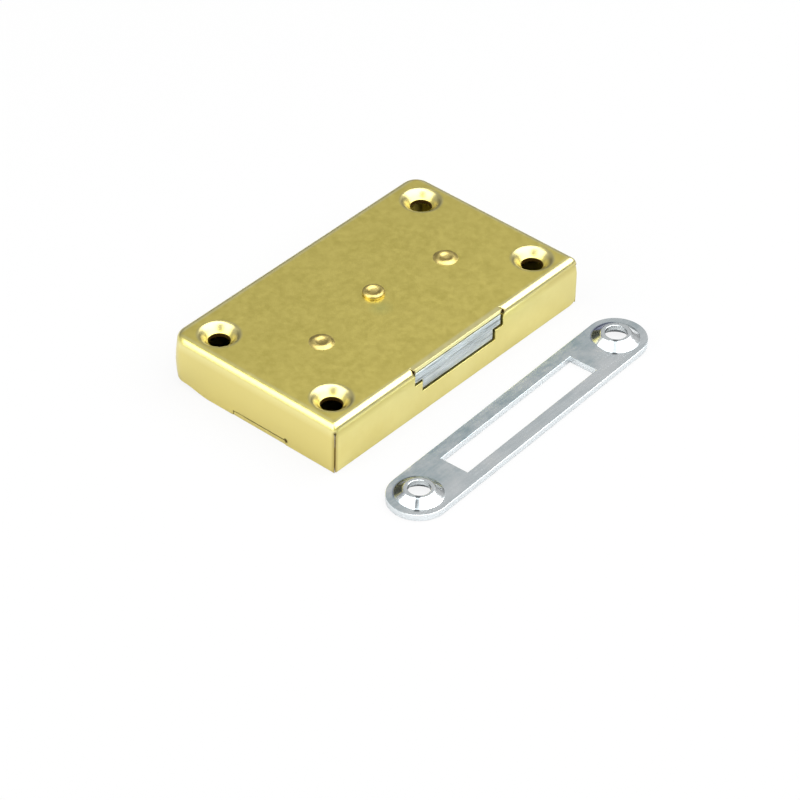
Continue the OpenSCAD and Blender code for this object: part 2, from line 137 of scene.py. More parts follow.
# Case. One blank of 0.8 mm brass-plated steel: the rear corners are drawn to a radius of 3.2 mm, the front
# corners are folded and show an open seam under a small relief. Four countersinks are pressed in before folding,
# and the front fold is cut away where the bolt comes out.
sheet, case_h, end_x, front_y, rear_y = 0.8, 10.0, 32.5, -20.0, 18.6
bend_r, corner_r, seam = 1.2, 3.2, 0.06
flat_x, flat_front, flat_rear = end_x - bend_r, front_y + bend_r, rear_y - bend_r
round_x, round_y = end_x - corner_r, rear_y - corner_r
wide_slot, narrow_slot, slit = 11.8, 9.75, 0.25
step_z, bolt_z, notch_z, notch_y = 6.6, 4.5, 1.0, (-8.6, 3.6)
screw_x, screw_ys = 26.8, (-14.1, 12.1)
bore_r, sink_r, sink_depth = 2.0, 3.9, 1.4


class Pressing:
    """A sheet with an outer and an inner skin, joined by its cut edges."""

    def __init__(self):
        self.outer, self.inner, self.faces, self.known = [], [], [], {}

    def point(self, outer, inner):
        key = tuple(round(v, 3) for v in outer)
        if key not in self.known:
            self.known[key] = len(self.outer)
            self.outer.append(outer)
            self.inner.append(inner)
        return self.known[key]

    def face(self, *corners):
        corners = [c for i, c in enumerate(corners) if c != corners[i - 1]]
        if len(set(corners)) > 2:
            self.faces.append(corners)

    def ring(self, one, other):
        for i in range(len(one)):
            self.face(one[i - 1], one[i], other[i], other[i - 1])

    def build(self, name, roll, place=lambda p: p):
        n = len(self.outer)
        count = {}
        for f in self.faces:
            for i in range(len(f)):
                edge = frozenset((f[i - 1], f[i]))
                count[edge] = count.get(edge, 0) + 1
        faces = [list(f) for f in self.faces] + [[n + v for v in reversed(f)] for f in self.faces]
        for f in self.faces:
            for i in range(len(f)):
                if count[frozenset((f[i - 1], f[i]))] == 1:
                    faces.append([f[i], f[i - 1], n + f[i - 1], n + f[i]])
        mesh = bpy.data.meshes.new(name)
        mesh.from_pydata([[v / 1000 for v in place(p)] for p in self.outer + self.inner], [], faces)
        bm = bmesh.new()
        bm.from_mesh(mesh)
        bmesh.ops.recalc_face_normals(bm, faces=bm.faces)
        weight = bm.edges.layers.float.new("bevel_weight_edge")
        for e in bm.edges:
            if len(e.link_faces) == 2 and e.calc_face_angle() > radians(50):
                e[weight] = 1.0
        bm.to_mesh(mesh)
        bm.free()
        piece = bpy.data.objects.new(name, mesh)
        bpy.context.scene.collection.objects.link(piece)
        rolled = piece.modifiers.new("rolled_edges", "BEVEL")
        rolled.limit_method, rolled.width, rolled.segments = "WEIGHT", roll / 1000, 2
        rolled.use_clamp_overlap = False
        return finished(piece)


def finished(piece, sharp=38):
    """Turns a piece and its modifiers into one plain mesh, smoothly shaded, whose broad faces stay flat."""
    depsgraph = bpy.context.evaluated_depsgraph_get()
    mesh = bpy.data.meshes.new_from_object(piece.evaluated_get(depsgraph))
    piece.modifiers.clear()
    piece.data = mesh
    mesh.name = piece.name
    mesh.shade_smooth()
    mesh.set_sharp_from_angle(angle=radians(sharp))
    around = [[] for v in mesh.vertices]
    for face in mesh.polygons:
        for v in face.vertices:
            around[v].append((face.normal.copy(), (face.area * 1e6) ** 2))
    normals = []
    for face in mesh.polygons:
        for v in face.vertices:
            joined = Vector()
            for normal, share in around[v]:
                if normal.dot(face.normal) > cos(radians(sharp)):
                    joined += normal * share
            normals.append(joined.normalized())
    mesh.normals_split_custom_set(normals)
    return piece


def spaced(*stops):
    """Positions from stop to stop, where each stop after the first is (place, number of steps)."""
    line = [stops[0]]
    for place, steps in stops[1:]:
        start = line[-1]
        line += [start + (place - start) * i / steps for i in range(1, steps + 1)]
    return line


case = Pressing()


def plate(x, y):
    return case.point((x, y, case_h), (x, y, case_h - sheet))


# the plate between the countersinks, and the tongue over the bolt
half = spaced(0, (narrow_slot, 14), (wide_slot, 4), (wide_slot + slit, 1), (22.3, 16))
middle_x = [-x for x in reversed(half[1:])] + half
side_x = spaced(22.3, (flat_x, 16))
front_lines = spaced(flat_front, (-9.4, 16))
middle_lines = spaced(-9.4, (notch_y[0], 1), (notch_y[1], 20), (7.4, 6))
rear_lines = spaced(7.4, (round_y, 12))
last_lines = spaced(round_y, (flat_rear, 3))
all_y = front_lines + middle_lines[1:] + rear_lines[1:] + last_lines[1:]
for xs, ys in [(middle_x, all_y), (side_x, middle_lines), ([-x for x in reversed(side_x)], middle_lines)]:
    for x0, x1 in zip(xs, xs[1:]):
        for y0, y1 in zip(ys, ys[1:]):
            case.face(plate(x0, y0), plate(x1, y0), plate(x1, y1), plate(x0, y1))
tongue_x = [x for x in middle_x if abs(x) <= wide_slot + 1e-6]
for x0, x1 in zip(tongue_x, tongue_x[1:]):
    for y0, y1 in [(flat_front, flat_front - 0.4), (flat_front - 0.4, flat_front - 0.8)]:
        case.face(plate(x0, y1), plate(x1, y1), plate(x1, y0), plate(x0, y0))


# countersinks: rings from the plate down a rounded rim to the bore
def countersink(hx, hy, outline):
    def around(r, z, inner_r, inner_z):
        ring = []
        for x, y in outline:
            d = hypot(x - hx, y - hy)
            u, v = (x - hx) / d, (y - hy) / d
            ring.append(case.point((hx + r * u, hy + r * v, z), (hx + inner_r * u, hy + inner_r * v, inner_z)))
        return ring

    last = [plate(x, y) for x, y in outline]
    blend = []
    for share in (0.35, 0.7):
        ring = []
        for x, y in outline:
            d = hypot(x - hx, y - hy)
            r = d + (sink_r - d) * share
            ring.append(plate(hx + r * (x - hx) / d, hy + r * (y - hy) / d))
        blend.append(ring)
    for ring in blend:
        case.ring(last, ring)
        last = ring
    steps = 12
    for i in range(steps, -1, -1):
        t = i / steps
        r = bore_r + (sink_r - bore_r) * t
        z = case_h - sink_depth * (1 - sin(pi / 2 * t) ** 1.5)
        t2 = min(1, t + 0.02)
        slope = (-(sink_depth) * (1 - sin(pi / 2 * t2) ** 1.5) - (z - case_h)) / ((sink_r - bore_r) * 0.02)
        norm = hypot(1, slope) if i < steps else 1
        slope = slope if i < steps else 0
        ring = around(r, z, r + sheet * slope / norm, z - sheet / norm) if i else around(r, z, r, z - sheet)
        case.ring(last, ring)
        last = ring


for side in (-1, 1):
    front = [(side * x, flat_front) for x in side_x] + [(side * flat_x, y) for y in front_lines[1:]] \
        + [(side * x, -9.4) for x in reversed(side_x[:-1])] + [(side * 22.3, y) for y in reversed(front_lines[1:-1])]
    arc = [(round_x + (corner_r - bend_r) * cos(pi / 2 * i / 8), round_y + (corner_r - bend_r) * sin(pi / 2 * i / 8))
           for i in range(9)]
    rear_x = spaced(22.3, (round_x, 12))
    rear = [(side * x, 7.4) for x in side_x] + [(side * flat_x, y) for y in rear_lines[1:-1]] \
        + [(side * x, y) for x, y in arc] + [(side * x, flat_rear) for x in reversed(rear_x[:-1])] \
        + [(side * 22.3, y) for y in reversed((rear_lines + last_lines[1:])[1:-1])]
    countersink(side * screw_x, screw_ys[0], front)
    countersink(side * screw_x, screw_ys[1], rear)

# folds and walls, as rows that go down from the plate's edge: (outer reach, inner reach, outer z, inner z, seam)
rows = [(bend_r * sin(a), (bend_r - sheet) * sin(a), case_h - bend_r + bend_r * cos(a),
         case_h - bend_r + (bend_r - sheet) * cos(a), 0) for a in [pi / 2 * i / 8 for i in range(9)]]
rows += [(bend_r, bend_r - sheet, z, z, gap) for z, gap in
         [(8.7, 0), (8.58, 0.22), (8.36, 0.24), (8.2, seam), (step_z, seam), (bolt_z, seam), (1.6, seam),
          (notch_z, seam), (0.5, seam), (0, seam)]]


def foot(x, z):
    """The front wall's lower corners are rounded, the right one more."""
    r = 1.6 if x > 0 else 0.5
    over = abs(x) - (end_x - r)
    low = r - sqrt(max(0, r * r - over * over)) if over > 0 else 0
    return z if z >= 1.6 else low + z * (1.6 - low) / 1.6


def wall(columns, keep=lambda a, b, z: True):
    """Each column is a function of a row that gives the outer and inner point."""
    for a, b in zip(columns, columns[1:]):
        for upper, lower in zip(rows, rows[1:]):
            if keep(a, b, (upper[2] + lower[2]) / 2):
                case.face(case.point(*a(upper)), case.point(*b(upper)), case.point(*b(lower)), case.point(*a(lower)))


def front_column(x):
    def at(row):
        reach, inner, z, inner_z, gap = row
        return (x, flat_front - reach, foot(x, z)), (x, flat_front - inner, foot(x, inner_z))
    at.x = x
    return at


def fold_column(side, t, along_front):
    """Where two bends meet, the sheet runs over a rounded corner, down to the head of the seam."""
    def at(row):
        reach, inner, z, inner_z, gap = row
        gap = gap if t == 1 else 0
        rounding = 0.5 * max(0, min(1, (z - 6.6) / 1.7))
        out = (1 - rounding) * t + rounding * sin(t * pi / 4)
        deep = 1 - rounding + rounding * cos(t * pi / 4)
        fall, other = case_h - z if z > 8.8 else bend_r, bend_r - sqrt(bend_r ** 2 - (t * reach) ** 2)
        drop = ((fall ** 3 + other ** 3) ** (1 / 3) - fall) * max(0, min(1, (z - 7.6) / 1.2))
        points = []
        for r, high in ((reach, z), (inner, inner_z)):
            a, b = r * out - gap, r * deep
            x, y = (flat_x + a, flat_front - b) if along_front else (flat_x + b, flat_front - a)
            high -= drop
            points.append((side * x, y, foot(side * x, high) if along_front else high))
        return points
    at.x = side * flat_x
    return at


def drawn(side, t, z):
    """The drawn rear corners bulge a little, the left one more, and their lower edge is pulled up by t of that."""
    low = (0.85 if side < 0 else 0.25) * t * t * (3 - 2 * t)
    return z if z >= 4.9 else low + z * (4.9 - low) / 4.9


def side_column(side, y):
    t = max(0, (y - 9.5) / (round_y - 9.5))

    def at(row):
        reach, inner, z, inner_z, gap = row
        return (side * (flat_x + reach), y, drawn(side, t, z)), (side * (flat_x + inner), y, drawn(side, t, inner_z))
    at.y = y
    return at


def corner_column(side, a):
    def at(row):
        reach, inner, z, inner_z, gap = row
        bulge = (0.32 if side < 0 else 0.1) * sin(2 * a) * sin(pi * min(1, z / 8.8))
        r, ri = corner_r - bend_r + reach + bulge, corner_r - bend_r + inner + bulge
        return ((side * (round_x + r * cos(a)), round_y + r * sin(a), drawn(side, 1, z)),
                (side * (round_x + ri * cos(a)), round_y + ri * sin(a), drawn(side, 1, inner_z)))
    return at


def rear_column(x):
    def at(row):
        reach, inner, z, inner_z, gap = row
        t = max(0, 1 - (round_x - abs(x)) / 5)
        return (x, flat_rear + reach, drawn(x, t, z)), (x, flat_rear + inner, drawn(x, t, inner_z))
    return at


def beside_bolt(a, b, z):
    x = abs(a.x + b.x) / 2
    return not (x < wide_slot + slit and z > case_h - bend_r or x < wide_slot and z > step_z
                or x < narrow_slot and z > bolt_z)


front_x = [-x for x in reversed(side_x)] + middle_x[1:] + side_x[1:]
wall([front_column(x) for x in front_x], beside_bolt)
for side in (-1, 1):
    folds = [i / 5 for i in range(6)]
    wall([fold_column(side, t, True) for t in folds])
    wall([fold_column(side, t, False) for t in reversed(folds)])
    side_y = front_lines + middle_lines[1:] + rear_lines[1:]
    wall([side_column(side, y) for y in side_y],
         lambda a, b, z: z > notch_z or not notch_y[0] < (a.y + b.y) / 2 < notch_y[1])
    wall([corner_column(side, pi / 2 * i / 8) for i in range(9)])
rear_half = spaced(22.3, (round_x, 12))
wall([rear_column(x) for x in [-x for x in reversed(rear_half)] + middle_x[1:] + rear_half[1:]])
lock_case = case.build("case_pressing", 0.08)


def tones(tree, value, stops):
    """A colour ramp over a value, with stops of (place, colour)."""
    ramp = add(tree, "ShaderNodeValToRGB", {"Fac": value})
    while len(ramp.color_ramp.elements) < len(stops):
        ramp.color_ramp.elements.new(0.5)
    for element, (at, colour) in zip(ramp.color_ramp.elements, stops):
        element.position, element.color = at, (*colour, 1)
    return ramp.outputs["Color"]


def grain(tree, size_mm, stretch=(1, 1, 1), detail=3.0, rough=0.55):
    """Noise on the piece's own coordinates, with features of about that size."""
    at = add(tree, "ShaderNodeTexCoord").outputs["Object"]
    place = add(tree, "ShaderNodeMapping", {"Vector": at, "Scale": stretch})
    return add(tree, "ShaderNodeTexNoise", {"Vector": place.outputs[0], "Scale": 1000 / size_mm, "Detail": detail,
                                            "Roughness": rough}).outputs[0]


def between(tree, value, low, high, to_low, to_high):
    return add(tree, "ShaderNodeMapRange", {"Value": value, "From Min": low, "From Max": high,
                                            "To Min": to_low, "To Max": to_high}).outputs[0]


def fading(tree, value, low_mm, high_mm, start=0, end=1):
    """Goes from start to end as a length in metres goes from low_mm to high_mm."""
    return between(tree, value, low_mm / 1000, high_mm / 1000, start, end)


def mixed(tree, share, one, other):
    made = add(tree, "ShaderNodeMix", data_type="RGBA")
    for socket, value in ((made.inputs[0], share), (made.inputs[6], one), (made.inputs[7], other)):
        if isinstance(value, bpy.types.NodeSocket):
            tree.links.new(value, socket)
        else:
            socket.default_value = value
    return made.outputs[2]


def metal(name, **fixed):
    """A bare metal whose colour, roughness and relief come from nodes; fixed are the shader's own values."""
    made = bpy.data.materials.new(name)
    made.use_nodes = True
    tree = made.node_tree
    shader = tree.nodes["Principled BSDF"]
    shader.inputs["Metallic"].default_value = 1.0
    for key, value in fixed.items():
        shader.inputs[key.replace("_", " ")].default_value = value
    return made, tree, shader


def relief(tree, shader, *layers):
    """Stacks bumps of (height value, depth in mm) on the shader's normal."""
    normal = None
    for value, depth in layers:
        feeds = {"Height": value, "Strength": 1.0, "Distance": depth / 1000}
        if normal:
            feeds["Normal"] = normal
        normal = add(tree, "ShaderNodeBump", feeds).outputs[0]
    tree.links.new(normal, shader.inputs["Normal"])


def window(tree, value, low_mm, high_mm, soft_mm):
    """1 where a length lies from low_mm to high_mm, fading out over soft_mm."""
    return product(tree, fading(tree, value, low_mm - soft_mm, low_mm),
                   fading(tree, value, high_mm, high_mm + soft_mm, 1, 0))


upright = (1, 1, 0)


def spot(tree, at, place_mm, near_mm, far_mm, scale=(1, 1, 1)):
    """1 within near_mm of a place, fading out to far_mm; the scale upright measures from a line instead."""
    moved = add(tree, "ShaderNodeVectorMath", {0: at, 1: tuple(v / 1000 for v in place_mm)}, operation="SUBTRACT")
    flat = add(tree, "ShaderNodeVectorMath", {0: moved.outputs[0], 1: scale}, operation="MULTIPLY")
    off = add(tree, "ShaderNodeVectorMath", {0: flat.outputs[0]}, operation="LENGTH").outputs["Value"]
    return fading(tree, off, near_mm, far_mm, 1, 0)


brass, tree, shader = metal("lacquered_brass", Coat_Roughness=0.28)
clouds, patches = grain(tree, 6, detail=4), grain(tree, 1.3, detail=4, rough=0.65)
streaks, pits = grain(tree, 1.0, (0.12, 1, 1)), grain(tree, 0.3, detail=2)
at = add(tree, "ShaderNodeTexCoord").outputs["Object"]
mirrored = add(tree, "ShaderNodeVectorMath", {0: at}, operation="ABSOLUTE").outputs[0]
axes = add(tree, "ShaderNodeSeparateXYZ", {0: at})
mirrored_x = add(tree, "ShaderNodeSeparateXYZ", {0: mirrored}).outputs["X"]
along, back, high = axes.outputs["X"], axes.outputs["Y"], axes.outputs["Z"]
hole_at = add(tree, "ShaderNodeCombineXYZ", {0: mirrored_x, 1: back, 2: high}).outputs[0]
at_ends = fading(tree, mirrored_x, end_x - 0.4, end_x - 0.2)


def round_holes(near, far):
    """1 within near of a screw hole's axis, fading out to far, in mm."""
    return largest(tree, *[spot(tree, hole_at, (screw_x, y, 0), near, far, upright) for y in screw_ys])


# the face: cloudy olive, with the key pin's shadow painted in front of it in a greener olive
olive = tones(tree, clouds, [(0.3, (0.66, 0.555, 0.11)), (0.7, (0.72, 0.605, 0.135))])
olive = mixed(tree, between(tree, patches, 0.35, 0.65, 0.0, 0.6), olive, (0.76, 0.65, 0.17, 1))
olive = mixed(tree, spot(tree, at, (-2.3, -3.6, case_h), 0.3, 2.6, upright), olive, (0.60, 0.56, 0.15, 1))
# the walls: painted paler than the face, as the light they catch; darker towards the fold, a painted dark reflection
# under the fold's highlight, but the left wall is palest there, a painted highlight below its fold
pale = tones(tree, clouds, [(0.3, (0.77, 0.675, 0.225)), (0.7, (0.83, 0.745, 0.28))])
pale = mixed(tree, fading(tree, high, 7.2, 8.6), pale, (0.62, 0.53, 0.145, 1))
left_pale = mixed(tree, fading(tree, high, 7.2, 9.0), (0.80, 0.69, 0.235, 1), (0.90, 0.82, 0.36, 1))
pale = mixed(tree, fading(tree, along, 0.1 - end_x, 0.7 - end_x, 1, 0), pale, left_pale)
# paler where it is pressed and folded: partly wear, and partly painted sheen that whitens the highlights there
skin = mixed(tree, round_holes(sink_r - 0.2, sink_r + 0.3), olive, (0.53, 0.47, 0.195, 1))
folds = largest(tree, fading(tree, mirrored_x, flat_x - 0.4, flat_x + 0.1),
                fading(tree, back, flat_front, flat_front + 0.5, 1, 0),
                fading(tree, back, flat_rear - 0.5, flat_rear))
fold = mixed(tree, fading(tree, along, -flat_x - 0.4, -flat_x + 0.3, 1, 0),
             (0.74, 0.67, 0.30, 1), (0.74, 0.66, 0.20, 1))
skin = mixed(tree, folds, skin, fold)
skin = mixed(tree, fading(tree, high, 8.7, 9.4), pale, skin)
# painted shade in the open seams and their reliefs, under the notch's lip, in the slits and in the bores
from_seam = dot(tree, mirrored, (1, -1, 0))
seam_at = end_x + front_y
seams = product(tree, window(tree, from_seam, seam_at - 0.12, seam_at + 0.12, 0.08),
                fading(tree, high, 8.3, 8.7, 1, 0), fading(tree, back, -18.2, -18.0, 1, 0),
                fading(tree, along, 20, 25, 1, 0.25))
reliefs = spot(tree, mirrored, (end_x, -front_y, 8.5), 0.2, 0.6)
lip = product(tree, window(tree, high, notch_z - 0.16, notch_z + 0.04, 0.12),
              window(tree, back, notch_y[0] - 0.1, notch_y[1] + 0.1, 0.2),
              fading(tree, back, -1.0, notch_y[1] + 0.1, 1, 0.1), at_ends)
lip_end = product(tree, spot(tree, at, (-end_x, notch_y[0] - 0.1, notch_z), 0.25, 0.6), at_ends)
slits = spot(tree, mirrored, (wide_slot + 0.1, -front_y - 0.4, case_h - 0.5), 0.3, 0.9)
bores = product(tree, fading(tree, high, case_h - sink_depth - 0.02, case_h - sink_depth + 0.03, 1, 0),
                round_holes(bore_r + 0.1, bore_r + 0.3))
recess_shade = largest(tree, seams, reliefs, lip, lip_end, bores, product(tree, slits, slits))
# a soft brown halo of the painted seam shade along the left front seam
seam_shade_halo = product(tree, spot(tree, at, (-end_x, front_y, 0), 0.2, 0.9, upright),
                  fading(tree, high, 8.3, 8.8, 0.75, 0))
skin = mixed(tree, seam_shade_halo, skin, (0.40, 0.28, 0.05, 1))
# the painted shade is darkest in the seams
recess_shade_tone = mixed(tree, seams, (0.08, 0.045, 0.01, 1), (0.19, 0.12, 0.02, 1))
skin = mixed(tree, recess_shade, skin, recess_shade_tone)
tree.links.new(skin, shader.inputs["Base Color"])
tree.links.new(between(tree, recess_shade, 0, 1, 0.5, 0), shader.inputs["Coat Weight"])
rough = between(tree, patches, 0.3, 0.7, 0.28, 0.35)
tree.links.new(add(tree, "ShaderNodeMath", {0: recess_shade, 1: 0.45, 2: rough}, operation="MULTIPLY_ADD").outputs[0],
               shader.inputs["Roughness"])
relief(tree, shader, (clouds, 0.008), (patches, 0.006), (streaks, 0.0015), (pits, 0.002))
lock_case.data.materials.append(brass)
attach(lock_case, "case")
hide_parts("lock_case")


# Key pin and pillars. Turned posts whose shouldered ends are riveted over the case, where each leaves a low ring
# with a dimple. The heads took the plating with the case, and the shanks inside are bare steel and brass.
def turned(name, x, y, profile, facets=48):
    """A turned piece from (radius, height) pairs, from its lower end up to its upper end on the axis."""
    rings = []
    mesh_points, faces = [], []
    for r, z in profile:
        if r < 1e-6:
            rings.append([len(mesh_points)] * facets)
            mesh_points.append((x / 1000, y / 1000, z / 1000))
        else:
            rings.append(list(range(len(mesh_points), len(mesh_points) + facets)))
            mesh_points += [((x + r * cos(2 * pi * i / facets)) / 1000, (y + r * sin(2 * pi * i / facets)) / 1000,
                             z / 1000) for i in range(facets)]
    for low, up in zip(rings, rings[1:]):
        for i in range(facets):
            corners = [low[i - 1], low[i], up[i], up[i - 1]]
            faces.append([c for k, c in enumerate(corners) if c != corners[k - 1]])
    mesh = bpy.data.meshes.new(name)
    mesh.from_pydata(mesh_points, [], faces)
    mesh.shade_smooth()
    mesh.set_sharp_from_angle(angle=radians(38))
    piece = bpy.data.objects.new(name, mesh)
    bpy.context.scene.collection.objects.link(piece)
    return piece


roof = case_h - sheet
low_head = [(2.3, case_h), (2.15, 10.03), (2.0, 10.1), (1.85, 10.21), (1.65, 10.32), (1.4, 10.38), (1.15, 10.36),
            (0.95, 10.29), (0.8, 10.21), (0.6, 10.15), (0.3, 10.12), (0, 10.12)]
tall_head = [(2.0, case_h), (2.03, 10.12), (2.03, 10.4), (1.95, 10.58), (1.78, 10.72), (1.55, 10.79), (1.4, 10.8),
             (1.25, 10.77), (1.05, 10.68), (0.92, 10.59), (0.75, 10.54), (0.4, 10.52), (0, 10.52)]
foot_end = [(0, 0), (0.95, 0), (1.1, 0.1), (1.1, 0.8)]
shoulder = [(1.5, roof - 0.02), (1.1, roof - 0.02), (1.1, case_h)]
pillar_x, pillar_y = 16.5, -2.55
posts = [("key_pin", 0, 0, "post_brass", [(0, 0.3), (1.2, 0.3), (1.5, 0.6), (1.5, 8.9)], tall_head),
         ("left_pillar", -pillar_x, pillar_y, "post_steel",
          foot_end + [(2.45, 0.8), (2.6, 0.92), (2.6, 4.6), (2.5, 4.8), (1.5, 4.8)], low_head),
         ("right_pillar", pillar_x, pillar_y, "post_steel", foot_end + [(1.4, 0.8), (1.5, 0.9)], low_head)]
post_metals = {}
for slot_name, colour in (("post_brass", (0.78, 0.66, 0.30)), ("post_steel", (0.50, 0.49, 0.47))):
    made, tree, shader = metal("turned_" + slot_name[5:], Coat_Weight=0.0)
    rings, spots = grain(tree, 0.6, (0.15, 0.15, 2.5)), grain(tree, 1.2)
    bare = tones(tree, rings, [(0.3, tuple(c * 0.82 for c in colour)), (0.7, colour)])
    plated = tones(tree, spots, [(0.35, (0.40, 0.315, 0.10)), (0.65, (0.52, 0.425, 0.155))])
    high = add(tree, "ShaderNodeSeparateXYZ", {0: add(tree, "ShaderNodeTexCoord").outputs["Object"]}).outputs["Z"]
    tree.links.new(mixed(tree, fading(tree, high, 9.9, 9.95), bare, plated), shader.inputs["Base Color"])
    tree.links.new(between(tree, spots, 0.3, 0.7, 0.36, 0.46), shader.inputs["Roughness"])
    relief(tree, shader, (rings, 0.003), (spots, 0.006))
    post_metals[slot_name] = made
for name, x, y, slot_name, shank, head in posts:
    post = turned(name + "_turned", x, y, shank + shoulder + head)
    post.data.materials.append(post_metals[slot_name])
    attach(post, "case")
    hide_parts(name)


# Bolt. Four blanked layers of zinc-plated steel, two wide ones over two narrow ones. Blanking leaves a rolled upper
# edge and a streaky cut face, which shows in the slot.
def blanked(node, name, roll):
    """A copy of the node's flat blank, with its edges broken as a press leaves them."""
    mesh = nodes[node].data.copy()
    mesh.name = name
    bm = bmesh.new()
    bm.from_mesh(mesh)
    bmesh.ops.remove_doubles(bm, verts=bm.verts, dist=1e-7)
    bmesh.ops.dissolve_limit(bm, angle_limit=radians(0.4), verts=bm.verts, edges=bm.edges)
    bm.to_mesh(mesh)
    bm.free()
    mesh.materials.clear()
    piece = bpy.data.objects.new(name, mesh)
    bpy.context.scene.collection.objects.link(piece)
    broken = piece.modifiers.new("broken_edges", "BEVEL")
    broken.limit_method, broken.angle_limit = "ANGLE", radians(50)
    broken.width, broken.segments, broken.use_clamp_overlap = roll / 1000, 2, False
    return finished(piece)


zinc, tree, shader = metal("zinc_plate", Coat_Weight=0.0)
streaks, cut = grain(tree, 0.5, (0.06, 1, 1), detail=4), grain(tree, 0.3, (1, 1, 0.12), detail=2)
cloud = grain(tree, 3.0)
grey = tones(tree, streaks, [(0.32, (0.22, 0.24, 0.25)), (0.45, (0.50, 0.55, 0.58)), (0.7, (0.70, 0.75, 0.78))])
tree.links.new(mixed(tree, between(tree, cloud, 0.4, 0.7, 0, 0.4), grey, (0.46, 0.49, 0.47, 1)),
               shader.inputs["Base Color"])
tree.links.new(between(tree, cut, 0.3, 0.7, 0.28, 0.44), shader.inputs["Roughness"])
relief(tree, shader, (streaks, 0.008), (cut, 0.006))
for k in (1, 2, 3, 4):
    layer = blanked(f"bolt_plate_{k}", f"bolt_layer_{k}", 0.07)
    layer.data.materials.append(zinc)
    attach(layer, "bolt")
    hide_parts(f"bolt_plate_{k}")

# Bolt rivets and stump. Five rivets hold the layers, ground off flush, and the stump is a thicker shouldered pin
# that stands down from the bolt into the levers' gates.
steel, tree, shader = metal("bright_steel", Coat_Weight=0.0)
rings = grain(tree, 0.5, (1, 1, 0.3))
tree.links.new(tones(tree, rings, [(0.3, (0.42, 0.42, 0.41)), (0.7, (0.60, 0.60, 0.58))]),
               shader.inputs["Base Color"])
tree.links.new(between(tree, rings, 0.3, 0.7, 0.28, 0.38), shader.inputs["Roughness"])
relief(tree, shader, (rings, 0.004))

tree = bpy.data.node_groups.new("set_rivets", "GeometryNodeTree")
for socket, kind in (("Places", "Geometry"), ("Rivet", "Object"), ("Metal", "Material")):
    tree.interface.new_socket(name=socket, in_out="INPUT", socket_type="NodeSocket" + kind)
tree.interface.new_socket(name="Rivets", in_out="OUTPUT", socket_type="NodeSocketGeometry")
given = add(tree, "NodeGroupInput")
places = add(tree, "GeometryNodeMeshToPoints", {"Mesh": given.outputs["Places"]})
rivet = add(tree, "GeometryNodeObjectInfo", {"Object": given.outputs["Rivet"]})
spread = add(tree, "GeometryNodeInstanceOnPoints", {"Points": places.outputs[0],
                                                    "Instance": rivet.outputs["Geometry"]})
real = add(tree, "GeometryNodeRealizeInstances", {0: spread.outputs[0]})
painted = add(tree, "GeometryNodeSetMaterial", {"Geometry": real.outputs[0], "Material": given.outputs["Metal"]})
add(tree, "NodeGroupOutput", {0: painted.outputs[0]})
rivet_tree = tree


def run_tree(piece, tree, **values):
    """Runs a node tree on a piece and keeps its result as a plain mesh."""
    made = piece.modifiers.new(tree.name, "NODES")
    made.node_group = tree
    for item in tree.interface.items_tree:
        if item.in_out == "INPUT" and item.name in values:
            made[item.identifier] = values[item.name]
    return finished(piece)


layer_low, layer_top, rivet_r = 4.9, 9.1, 0.985
post_x, stump_y = 12, 9.5
pattern = turned("rivet_pattern", 0, 0, [(0, layer_low), (0.9, layer_low), (rivet_r, layer_low + 0.08),
                                         (rivet_r, layer_top - 0.08), (0.9, layer_top), (0, layer_top)], 32)
places_mesh = bpy.data.meshes.new("rivet_places")
rivet_places = [(-5.67, -15.25), (5.67, -15.25), (-post_x, -8.3), (post_x, -8.3), (-post_x, stump_y)]
places_mesh.from_pydata([(x / 1000, y / 1000, 0) for x, y in rivet_places], [], [])
rivets = bpy.data.objects.new("bolt_rivet_set", places_mesh)
bpy.context.scene.collection.objects.link(rivets)
run_tree(rivets, rivet_tree, Rivet=pattern, Metal=steel)
bpy.data.objects.remove(pattern)
stump_r = 1.25
stump = turned("stump_pin", post_x, stump_y, [
    (0, 0.85), (1.1, 0.85), (stump_r, 1.0), (stump_r, layer_low), (rivet_r, layer_low), (rivet_r, layer_top - 0.08),
    (0.9, layer_top), (0, layer_top)])
stump.data.materials.append(steel)
for piece, node in ((rivets, "bolt_rivets"), (stump, "bolt_stump")):
    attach(piece, "bolt")
    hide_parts(node)

# Lever post and spacers. The post is riveted to the cover, and two thin rings on it keep the levers apart.
pivot = turned("lever_post", post_x, -13.5, foot_end + [(1.4, 0.8), (1.5, 0.9), (1.5, 4.72), (1.38, 4.85), (0, 4.85)])
pivot.data.materials.append(post_metals["post_steel"])
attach(pivot, "case")
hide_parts("lever_pivot")

bronze, tree, shader = metal("lever_brass", Coat_Weight=0.0)
streaks, cloud = grain(tree, 0.6, (1, 0.08, 1), detail=4), grain(tree, 2.5)
tree.links.new(mixed(tree, between(tree, cloud, 0.35, 0.7, 0, 0.5),
                     tones(tree, streaks, [(0.3, (0.58, 0.43, 0.17)), (0.7, (0.74, 0.58, 0.27))]),
                     (0.62, 0.45, 0.17, 1)), shader.inputs["Base Color"])
tree.links.new(between(tree, streaks, 0.3, 0.7, 0.28, 0.42), shader.inputs["Roughness"])
relief(tree, shader, (streaks, 0.006))
spacers = blanked("lever_spacers", "spacer_rings", 0.04)
spacers.data.materials.append(bronze)
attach(spacers, "case")
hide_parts("lever_spacers")

